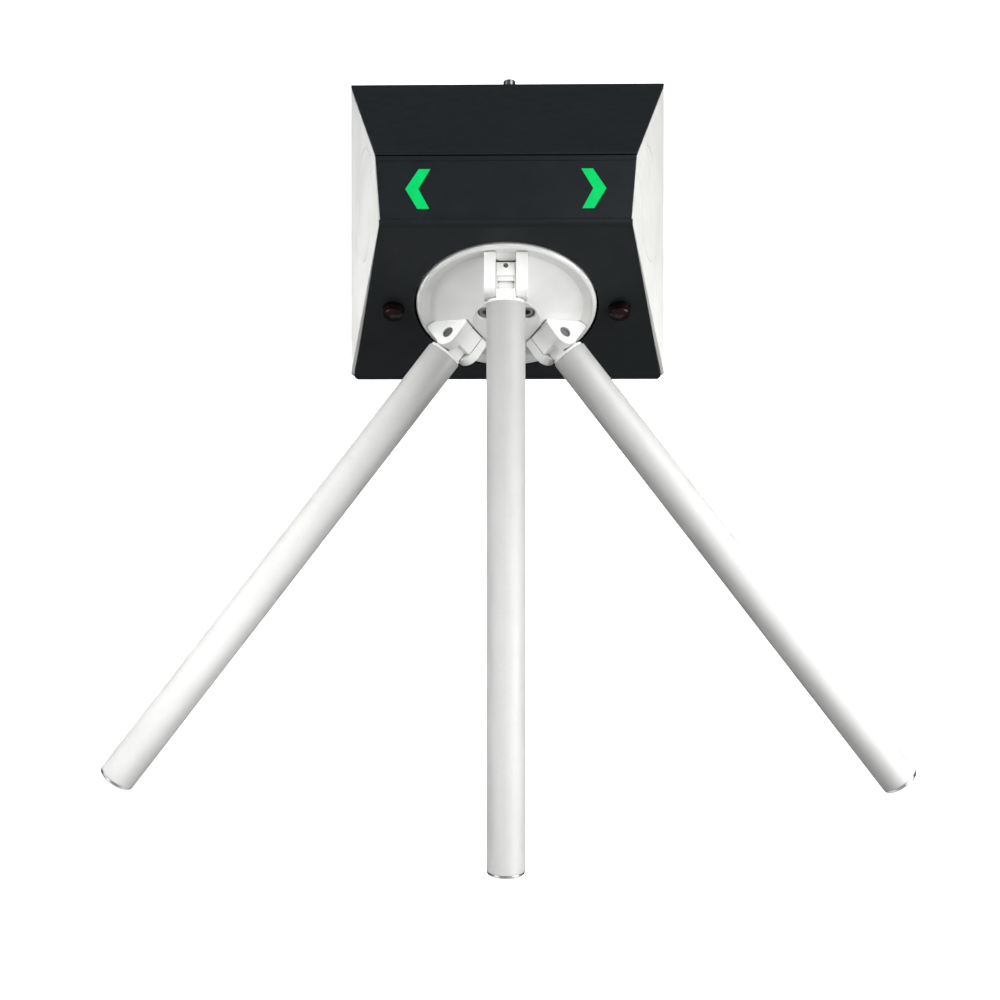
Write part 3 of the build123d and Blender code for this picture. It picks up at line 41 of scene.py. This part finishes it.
# =====================================================================================
# Materials
# =====================================================================================
class Look:
    """A material with one Principled shader, whose textures are placed in metres."""

    def __init__(self, name, base, roughness, metallic=0.0, **sockets):
        self.material = bpy.data.materials.new(name)
        self.material.use_nodes = True
        self.tree = self.material.node_tree
        self.shader = self.tree.nodes["Principled BSDF"]
        self.place = self.node("TexCoord").outputs["Object"]
        self.normal = None
        self.set("Base Color", (*base, 1.0))
        self.set("Roughness", roughness)
        self.set("Metallic", metallic)
        for socket, value in sockets.items():
            self.set(socket.replace("_", " "), value)

    def set(self, socket, value):
        self.shader.inputs[socket].default_value = value

    def node(self, kind, **settings):
        made = self.tree.nodes.new("ShaderNode" + kind)
        for name, value in settings.items():
            setattr(made, name, value)
        return made

    def link(self, output, node, socket):
        self.tree.links.new(output, node.inputs[socket])

    def placed(self, origin=(0, 0, 0), out=None, up=None, stretch=(1, 1, 1)):
        """Texture coordinates about an origin, with Z along out and Y along up."""
        if out is None:
            turn = Matrix.Identity(3)
        else:
            side = Vector(up).cross(out)
            turn = Matrix((side, Vector(up), Vector(out))).transposed()
        mapping = self.node("Mapping", vector_type="TEXTURE")
        mapping.inputs["Location"].default_value = origin
        mapping.inputs["Rotation"].default_value = turn.to_euler()
        self.link(self.place, mapping, "Vector")
        scaling = self.node("VectorMath", operation="MULTIPLY")
        scaling.inputs[1].default_value = stretch
        self.link(mapping.outputs["Vector"], scaling, 0)
        return scaling.outputs["Vector"]

    def noise(self, size, detail=2.0, place=None, **settings):
        """Noise whose features are about size metres across."""
        made = self.node("TexNoise", **settings)
        self.link(place or self.place, made, "Vector")
        made.inputs["Scale"].default_value = 1.0 / size
        made.inputs["Detail"].default_value = detail
        return made.outputs["Fac"]

    def ramp(self, value, *stops):
        """Colour stops as (position, colour)."""
        made = self.node("ValToRGB")
        elements = made.color_ramp.elements
        while len(elements) < len(stops):
            elements.new(0.5)
        for element, (position, colour) in zip(elements, stops):
            element.position = position
            element.color = (*colour, 1.0)
        self.link(value, made, "Fac")
        return made.outputs["Color"]

    def between(self, value, low, high, start=0.3, end=0.7):
        """A value mapped from the range start to end onto low to high."""
        made = self.node("MapRange")
        for socket, number in zip(
            ("From Min", "From Max", "To Min", "To Max"), (start, end, low, high)
        ):
            made.inputs[socket].default_value = number
        self.link(value, made, "Value")
        return made.outputs["Result"]

    def math(self, operation, first, second):
        made = self.node("Math", operation=operation)
        for socket, value in ((0, first), (1, second)):
            if isinstance(value, (int, float)):
                made.inputs[socket].default_value = value
            else:
                self.link(value, made, socket)
        return made.outputs["Value"]

    def mix(self, share, first, second):
        """A colour between two colours, each a socket or three numbers."""
        made = self.node("Mix", data_type="RGBA")
        self.link(share, made, 0)
        for socket, value in ((6, first), (7, second)):
            if isinstance(value, tuple):
                made.inputs[socket].default_value = (*value, 1.0)
            else:
                self.link(value, made, socket)
        return made.outputs[2]

    def colour(self, output):
        self.link(output, self.shader, "Base Color")

    def gloss(self, output):
        self.link(output, self.shader, "Roughness")

    def bump(self, height, depth, strength=1.0):
        """Adds relief of about depth metres, over what relief there is already."""
        made = self.node("Bump")
        made.inputs["Strength"].default_value = strength
        made.inputs["Distance"].default_value = depth
        self.link(height, made, "Height")
        if self.normal is not None:
            self.link(self.normal, made, "Normal")
        self.normal = made.outputs["Normal"]
        self.link(self.normal, self.shader, "Normal")

    def paint_corner_shade(self, reach, start, end):
        """Paints shade into screw holes, seams and other corners narrower than about reach metres, as colour
        darkened by ambient occlusion.
        """
        body = self.shader.inputs["Base Color"].links[0].from_socket
        corner_shade = self.node("AmbientOcclusion", samples=8)
        corner_shade.inputs["Distance"].default_value = reach
        unshaded_share = self.between(corner_shade.outputs["AO"], 0.0, 1.0, start, end)
        # painted shade: the colour goes towards near black where ambient occlusion finds a narrow corner
        self.colour(self.mix(unshaded_share, (0.04, 0.04, 0.04), body))

    def round_edges(self, radius):
        """Shades sharp edges as if they were rounded."""
        made = self.node("Bevel", samples=6)
        made.inputs["Radius"].default_value = radius
        self.normal = made.outputs["Normal"]
        self.link(self.normal, self.shader, "Normal")

    def edge_share(self, radius):
        """1 near sharp edges and 0 on plain faces."""
        bevel = self.node("Bevel", samples=6)
        bevel.inputs["Radius"].default_value = radius
        same = self.node("VectorMath", operation="DOT_PRODUCT")
        self.link(bevel.outputs["Normal"], same, 0)
        self.link(self.node("NewGeometry").outputs["Normal"], same, 1)
        return self.between(same.outputs["Value"], 1.0, 0.0, 0.86, 0.985)


def powder_coat(
    name, base, roughness, grain=0.9 * MM, relief=0.02 * MM, edge=0.35 * MM, **sockets
):
    """Baked powder paint: faint orange peel, slightly uneven gloss, rubbed edges."""
    look = Look(name, base, roughness, **sockets)
    look.round_edges(edge)
    cloud = look.noise(45 * MM, 3.0)
    dark = tuple(c * 0.93 for c in base)
    light = tuple(min(1.0, c * 1.05) for c in base)
    body = look.ramp(cloud, (0.3, dark), (0.7, light))
    edges = look.edge_share(0.5 * MM)
    worn = look.math("MULTIPLY", edges, look.between(look.noise(2.5 * MM, 4.0), 0.0, 0.5))
    lighter = tuple(c + (0.9 - c) * 0.06 for c in base)
    look.colour(look.mix(worn, body, lighter))
    smear = look.noise(14 * MM, 4.0)
    look.gloss(look.between(smear, roughness - 0.05, roughness + 0.06))
    look.bump(look.noise(grain, 2.0), relief, 0.35)
    return look


BLACK = (0.0085, 0.0115, 0.0135)  # the covers and the indicator panel
BLACK_SPECULAR = 0.22


def black_steel():
    return powder_coat(
        "black_steel", BLACK, 0.42, edge=0.9 * MM, Specular_IOR_Level=BLACK_SPECULAR
    )


def white_cover():
    return powder_coat("white_cover", (0.80, 0.80, 0.775), 0.42, relief=0.015 * MM)


def rotor_white():
    look = powder_coat(
        "rotor_white", (0.88, 0.885, 0.865), 0.33, grain=0.7 * MM, relief=0.012 * MM,
        Coat_Weight=0.25, Coat_Roughness=0.18,
    )
    # painted shade darkens the screw counterbores and the creases of the rotor
    look.paint_corner_shade(3.5 * MM, 0.25, 0.62)
    return look


def arm_silver():
    """Silver paint on steel tube: fine bright flakes under a satin finish."""
    look = Look("arm_silver", (0.48, 0.48, 0.47), 0.48, 0.12, Specular_IOR_Level=0.35)
    look.round_edges(0.3 * MM)
    flakes = look.noise(0.35 * MM, 1.0)
    cloud = look.noise(22 * MM, 4.0)
    fine = look.ramp(
        flakes,
        (0.36, (0.41, 0.41, 0.40)),
        (0.5, (0.475, 0.475, 0.465)),
        (0.66, (0.545, 0.545, 0.535)),
    )
    coarse = look.ramp(cloud, (0.3, (0.455, 0.455, 0.445)), (0.7, (0.50, 0.50, 0.49)))
    look.colour(look.mix(look.between(look.noise(5 * MM, 3.0), 0.3, 0.7), coarse, fine))
    look.gloss(look.between(flakes, 0.42, 0.56))
    look.bump(look.noise(0.55 * MM, 2.0), 0.015 * MM, 0.3)
    # painted shade darkens the narrow corners and seams of the arm
    look.paint_corner_shade(2.5 * MM, 0.35, 0.75)
    return look


def polished(name, base, roughness):
    """Polished metal with hairline scratches and a little handling haze."""
    look = Look(name, base, roughness, 1.0)
    look.round_edges(0.25 * MM)
    haze = look.noise(9 * MM, 5.0)
    look.gloss(look.between(haze, roughness * 0.6, roughness * 1.9))
    hair = look.noise(0.4 * MM, 1.0, look.placed(stretch=(1, 1, 12)))
    look.bump(hair, 0.004 * MM, 0.25)
    return look


def turned_steel(name, base, roughness, origin=HUB_CENTRE, out=HUB_OUT, up=HUB_UP):
    """Machined steel, with fine rings about an axis and oil-dulled patches."""
    look = Look(name, base, roughness, 1.0)
    look.round_edges(0.3 * MM)
    place = look.placed(origin, out, up)
    parts = look.node("SeparateXYZ")
    look.link(place, parts, "Vector")
    across = look.math("MULTIPLY", parts.outputs["X"], parts.outputs["X"])
    along = look.math("MULTIPLY", parts.outputs["Y"], parts.outputs["Y"])
    radius = look.math("SQRT", look.math("ADD", across, along), 0)
    rings = look.node("CombineXYZ")
    look.link(radius, rings, "X")
    look.link(look.math("MULTIPLY", parts.outputs["Z"], 0.4), rings, "Y")
    marks = look.noise(0.5 * MM, 2.0, rings.outputs["Vector"])
    stain = look.noise(12 * MM, 4.0)
    dull = tuple(c * 0.72 for c in base)
    look.colour(look.ramp(stain, (0.32, dull), (0.6, base)))
    look.gloss(look.between(marks, roughness - 0.07, roughness + 0.1))
    look.bump(marks, 0.01 * MM, 0.4)
    return look


def zinc_steel():
    """Zinc plate with its fine crystalline spangle and a faint bluish and yellowish cast."""
    look = Look("zinc_steel", (0.62, 0.63, 0.64), 0.34, 1.0)
    look.round_edges(0.3 * MM)
    spangle = look.node("TexVoronoi")
    spangle.inputs["Scale"].default_value = 1 / (3.5 * MM)
    look.link(look.place, spangle, "Vector")
    grey = look.node("RGBToBW")
    look.link(spangle.outputs["Color"], grey, "Color")
    look.colour(
        look.ramp(
            grey.outputs["Val"],
            (0.15, (0.50, 0.53, 0.56)),
            (0.5, (0.62, 0.63, 0.63)),
            (0.85, (0.70, 0.68, 0.62)),
        )
    )
    look.gloss(look.between(grey.outputs["Val"], 0.26, 0.42, 0.1, 0.9))
    look.bump(look.noise(0.8 * MM, 3.0), 0.008 * MM, 0.3)
    return look


def moulded(name, base, roughness, relief=0.03 * MM, **sockets):
    """Injection-moulded plastic with a spark-eroded texture."""
    look = Look(name, base, roughness, **sockets)
    look.round_edges(0.25 * MM)
    cloud = look.noise(18 * MM, 3.0)
    dark = tuple(c * 0.85 for c in base)
    light = tuple(c * 1.15 for c in base)
    look.colour(look.ramp(cloud, (0.3, dark), (0.7, light)))
    look.gloss(look.between(look.noise(3 * MM, 3.0), roughness - 0.06, roughness + 0.08))
    look.bump(look.noise(0.45 * MM, 3.0), relief, 0.35)
    return look


def cast_housing():
    """Sand-cast metal: a coarse grain with darker pits."""
    look = Look("cast_housing", (0.36, 0.37, 0.38), 0.55, 0.9)
    look.round_edges(0.5 * MM)
    grain = look.noise(1.1 * MM, 5.0)
    look.colour(look.ramp(grain, (0.3, (0.22, 0.23, 0.24)), (0.7, (0.42, 0.43, 0.44))))
    look.gloss(look.between(grain, 0.65, 0.45))
    look.bump(grain, 0.12 * MM, 0.6)
    return look


def rubber_black():
    look = Look("rubber_black", (0.02, 0.02, 0.02), 0.62)
    look.round_edges(0.4 * MM)
    dust = look.noise(6 * MM, 5.0)
    look.colour(look.ramp(dust, (0.35, (0.016, 0.016, 0.017)), (0.75, (0.045, 0.044, 0.042))))
    look.gloss(look.between(dust, 0.55, 0.75))
    look.bump(look.noise(0.5 * MM, 2.0), 0.02 * MM, 0.4)
    return look


def circuit_board():
    """Green solder mask over copper tracks, on a 2.5 mm grid of turns."""
    look = Look("circuit_board", (0.012, 0.10, 0.04), 0.32, Coat_Weight=0.4, Coat_Roughness=0.15)
    tracks = look.node("TexBrick", offset=0.5, squash=1.0)
    tracks.inputs["Scale"].default_value = 1 / (11 * MM)
    tracks.inputs["Mortar Size"].default_value = 0.035
    tracks.inputs["Color1"].default_value = (0.0, 0.0, 0.0, 1)
    tracks.inputs["Color2"].default_value = (0.0, 0.0, 0.0, 1)
    tracks.inputs["Mortar"].default_value = (1, 1, 1, 1)
    look.link(look.placed(out=(0, -1, 0), up=(0, 0, 1)), tracks, "Vector")
    cloud = look.noise(16 * MM, 3.0)
    mask = look.ramp(cloud, (0.3, (0.009, 0.080, 0.032)), (0.7, (0.015, 0.115, 0.045)))
    look.colour(look.mix(tracks.outputs["Color"], mask, (0.05, 0.26, 0.09)))
    look.bump(tracks.outputs["Color"], 0.04 * MM, 0.5)
    return look


def arrow_green():
    """Lit diffusing lens, a little brighter over each lamp."""
    look = Look("arrow_green", (0.0, 0.05, 0.012), 0.45, Specular_IOR_Level=0.1)
    look.round_edges(0.2 * MM)
    glow = look.noise(7 * MM, 1.0)
    look.link(
        look.ramp(glow, (0.3, (0.0, 0.63, 0.135)), (0.7, (0.0, 0.70, 0.155))),
        look.shader,
        "Emission Color",
    )
    look.set("Emission Strength", 1.0)
    look.bump(look.noise(0.6 * MM, 1.0), 0.01 * MM, 0.3)
    return look


def sensor_red():
    """Very dark red, infrared-passing lens with a faceted inside."""
    look = Look(
        "sensor_red", (0.02, 0.004, 0.003), 0.10, Transmission_Weight=0.15, IOR=1.45,
        Specular_IOR_Level=0.28,
    )
    facets = look.node("TexVoronoi")
    facets.inputs["Scale"].default_value = 1 / (3.2 * MM)
    look.link(look.place, facets, "Vector")
    grey = look.node("RGBToBW")
    look.link(facets.outputs["Color"], grey, "Color")
    look.colour(
        look.ramp(grey.outputs["Val"], (0.2, (0.004, 0.002, 0.002)), (0.8, (0.018, 0.003, 0.002)))
    )
    look.gloss(look.between(grey.outputs["Val"], 0.07, 0.24, 0.1, 0.9))
    look.bump(grey.outputs["Val"], 0.12 * MM, 0.5)
    return look


LOOKS = {
    "black_steel": black_steel(),
    "white_cover": white_cover(),
    "indicator_black": moulded(
        "indicator_black", BLACK, 0.36, 0.008 * MM, Specular_IOR_Level=BLACK_SPECULAR
    ),
    "arrow_green": arrow_green(),
    "circuit_board": circuit_board(),
    "sensor_red": sensor_red(),
    "sensor_black": moulded(
        "sensor_black", (0.0022, 0.0022, 0.0024), 0.2, 0.008 * MM, Specular_IOR_Level=0.25
    ),
    "dark_plastic": moulded("dark_plastic", (0.022, 0.022, 0.023), 0.5),
    "chrome_lock": polished("chrome_lock", (0.16, 0.16, 0.165), 0.24),
    "zinc_steel": zinc_steel(),
    "rubber_black": rubber_black(),
    "cast_housing": cast_housing(),
    "machined_steel": turned_steel("machined_steel", (0.58, 0.58, 0.585), 0.3),
    "solenoid_yellow": moulded("solenoid_yellow", (0.42, 0.28, 0.045), 0.45),
    "terminal_green": moulded("terminal_green", (0.03, 0.22, 0.08), 0.45),
    "brass_spacer": polished("brass_spacer", (0.66, 0.47, 0.20), 0.26),
    "rotor_white": rotor_white(),
    "fastener_steel": polished("fastener_steel", (0.30, 0.30, 0.31), 0.32),
    "arm_silver": arm_silver(),
    "cap_steel": polished("cap_steel", (0.78, 0.78, 0.78), 0.16),
}

NODE_SLOT = {part["node"]: part["material_slot"] for part in frame["record"]["subparts"]}

for name, node in NODES.items():
    look = LOOKS[NODE_SLOT[name]].material
    for i in range(max(1, len(node.material_slots))):
        if i < len(node.material_slots):
            node.material_slots[i].material = look
        else:
            node.data.materials.append(look)

# =====================================================================================
# Floor, lights and camera
# =====================================================================================
FLOOR_Z = -0.90
WALL_Y = 1.9
WALL_TOP = 3.2
COVE_RADIUS = 0.6
STAGE_FRONT = -4.0
STAGE_HALF = 5.0


def studio_floor():
    """A pale floor that curves up into a backdrop behind the object."""
    points = [(STAGE_FRONT, FLOOR_Z)]
    for i in range(25):
        turn = i / 24 * pi / 2
        y = WALL_Y - COVE_RADIUS + COVE_RADIUS * sin(turn)
        points.append((y, FLOOR_Z + COVE_RADIUS * (1 - cos(turn))))
    points.append((WALL_Y, WALL_TOP))
    mesh = bmesh.new()
    rows = [[mesh.verts.new((x, y, z)) for y, z in points] for x in (-STAGE_HALF, STAGE_HALF)]
    for i in range(len(points) - 1):
        mesh.faces.new((rows[0][i], rows[1][i], rows[1][i + 1], rows[0][i + 1]))
    data = bpy.data.meshes.new("studio_floor")
    mesh.to_mesh(data)
    mesh.free()
    data.shade_smooth()
    floor = bpy.data.objects.new("studio_floor", data)
    SCENE.collection.objects.link(floor)
    look = Look("studio_paper", (0.94, 0.94, 0.94), 0.9)
    cloud = look.noise(0.35, 3.0)
    look.colour(look.ramp(cloud, (0.3, (0.93, 0.93, 0.93)), (0.7, (0.95, 0.95, 0.95))))
    look.set("Emission Color", (1.0, 1.0, 1.0, 1.0))
    look.set("Emission Strength", 0.6)
    data.materials.append(look.material)
    floor.visible_glossy = False
    floor.visible_diffuse = False


def soft_light(name, place, aim, size, power, seen=True, spread=180.0, lights=True):
    """A rectangular lamp. One that isn't seen gives no reflections, one that doesn't light gives
    only reflections, and a narrow spread, in degrees, stands for a honeycomb grid in front."""
    data = bpy.data.lights.new(name, "AREA")
    data.shape = "RECTANGLE"
    data.size, data.size_y = size
    data.energy = power
    data.spread = radians(spread)
    light = bpy.data.objects.new(name, data)
    light.location = place
    light.rotation_euler = (Vector(aim) - Vector(place)).to_track_quat("-Z", "Y").to_euler()
    light.visible_glossy = seen
    light.visible_diffuse = lights
    SCENE.collection.objects.link(light)


FRONT_BRIGHTNESS = 0.36
BACK_BRIGHTNESS = 0.07


def studio():
    """Pale surroundings in front, dark ones behind, and lamps round the front of the object."""
    world = bpy.data.worlds.new("studio")
    SCENE.world = world
    world.use_nodes = True
    nodes, links = world.node_tree.nodes, world.node_tree.links
    direction = nodes.new("ShaderNodeTexCoord").outputs["Generated"]
    parts = nodes.new("ShaderNodeSeparateXYZ")
    links.new(direction, parts.inputs["Vector"])
    shade = nodes.new("ShaderNodeMapRange")
    shade.interpolation_type = "SMOOTHSTEP"
    shade.inputs["From Min"].default_value = -0.35
    shade.inputs["From Max"].default_value = 0.45
    shade.inputs["To Min"].default_value = FRONT_BRIGHTNESS
    shade.inputs["To Max"].default_value = BACK_BRIGHTNESS
    links.new(parts.outputs["Y"], shade.inputs["Value"])
    links.new(shade.outputs["Result"], nodes["Background"].inputs["Strength"])
    nodes["Background"].inputs["Color"].default_value = (1.0, 1.0, 1.0, 1.0)
    soft_light(
        "right_softbox", (1.45, -0.85, -0.15), (0, -0.05, -0.2),
        size=(0.9, 1.6), power=9.5,
    )
    soft_light(
        "left_softbox", (-1.45, -0.8, 0.45), (0, -0.05, -0.15),
        size=(1.0, 1.4), power=5,
    )
    soft_light(
        "key_softbox", (1.0, -1.15, 1.05), (0, -0.1, -0.15),
        size=(1.0, 0.8), power=13.5,
    )
    soft_light(
        "low_softbox", (1.2, -0.8, -0.75), (0, -0.1, -0.1),
        size=(0.9, 0.5), power=9,
    )
    soft_light(
        "low_left_softbox", (-1.1, -0.9, -0.75), (0, -0.1, -0.1),
        size=(0.7, 0.5), power=3,
    )
    soft_light(
        "low_card", (0.0, -0.05, -0.88), (0, -0.05, 0.0),
        size=(0.8, 0.5), power=0.85, lights=False,
    )
    soft_light(
        "left_arm_grid", (-0.95, -1.0, 0.25), (-0.27, -0.15, -0.38),
        size=(0.4, 0.4), power=1.1, seen=False, spread=34,
    )
    soft_light(
        "left_arm_low_grid", (0.1, -1.15, -0.85), (-0.3, -0.15, -0.36),
        size=(0.3, 0.3), power=0.22, seen=False, spread=24,
    )
    soft_light(
        "right_arm_grid", (0.95, -1.0, 0.25), (0.27, -0.15, -0.38),
        size=(0.4, 0.4), power=1.05, seen=False, spread=34,
    )
    soft_light(
        "left_side_grid", (-1.3, -0.45, 0.3), (-0.15, -0.09, 0.0),
        size=(0.4, 0.4), power=0.38, seen=False, spread=30,
    )
    soft_light(
        "backdrop_light", (0, 0.7, 1.5), (0, WALL_Y, -0.3),
        size=(3.2, 0.6), power=25, seen=False,
    )
    soft_light(
        "floor_light", (0, 0.9, 0.6), (0, 0.9, FLOOR_Z),
        size=(3.0, 0.9), power=12, seen=False,
    )


CAMERA_PLACE = (0.0075, -1.010, -0.2575)
CAMERA_TURN = 0.832  # degrees to the left
CAMERA_LENS = 37.3
SENSOR_WIDTH = 36.0


def camera():
    data = bpy.data.cameras.new("camera")
    data.lens = CAMERA_LENS
    data.sensor_width = SENSOR_WIDTH
    data.clip_start = 0.01
    made = bpy.data.objects.new("camera", data)
    made.location = CAMERA_PLACE
    made.rotation_euler = (radians(90), 0, radians(CAMERA_TURN))
    SCENE.collection.objects.link(made)
    SCENE.camera = made


studio_floor()
studio()
camera()
SCENE.view_settings.view_transform = "Standard"
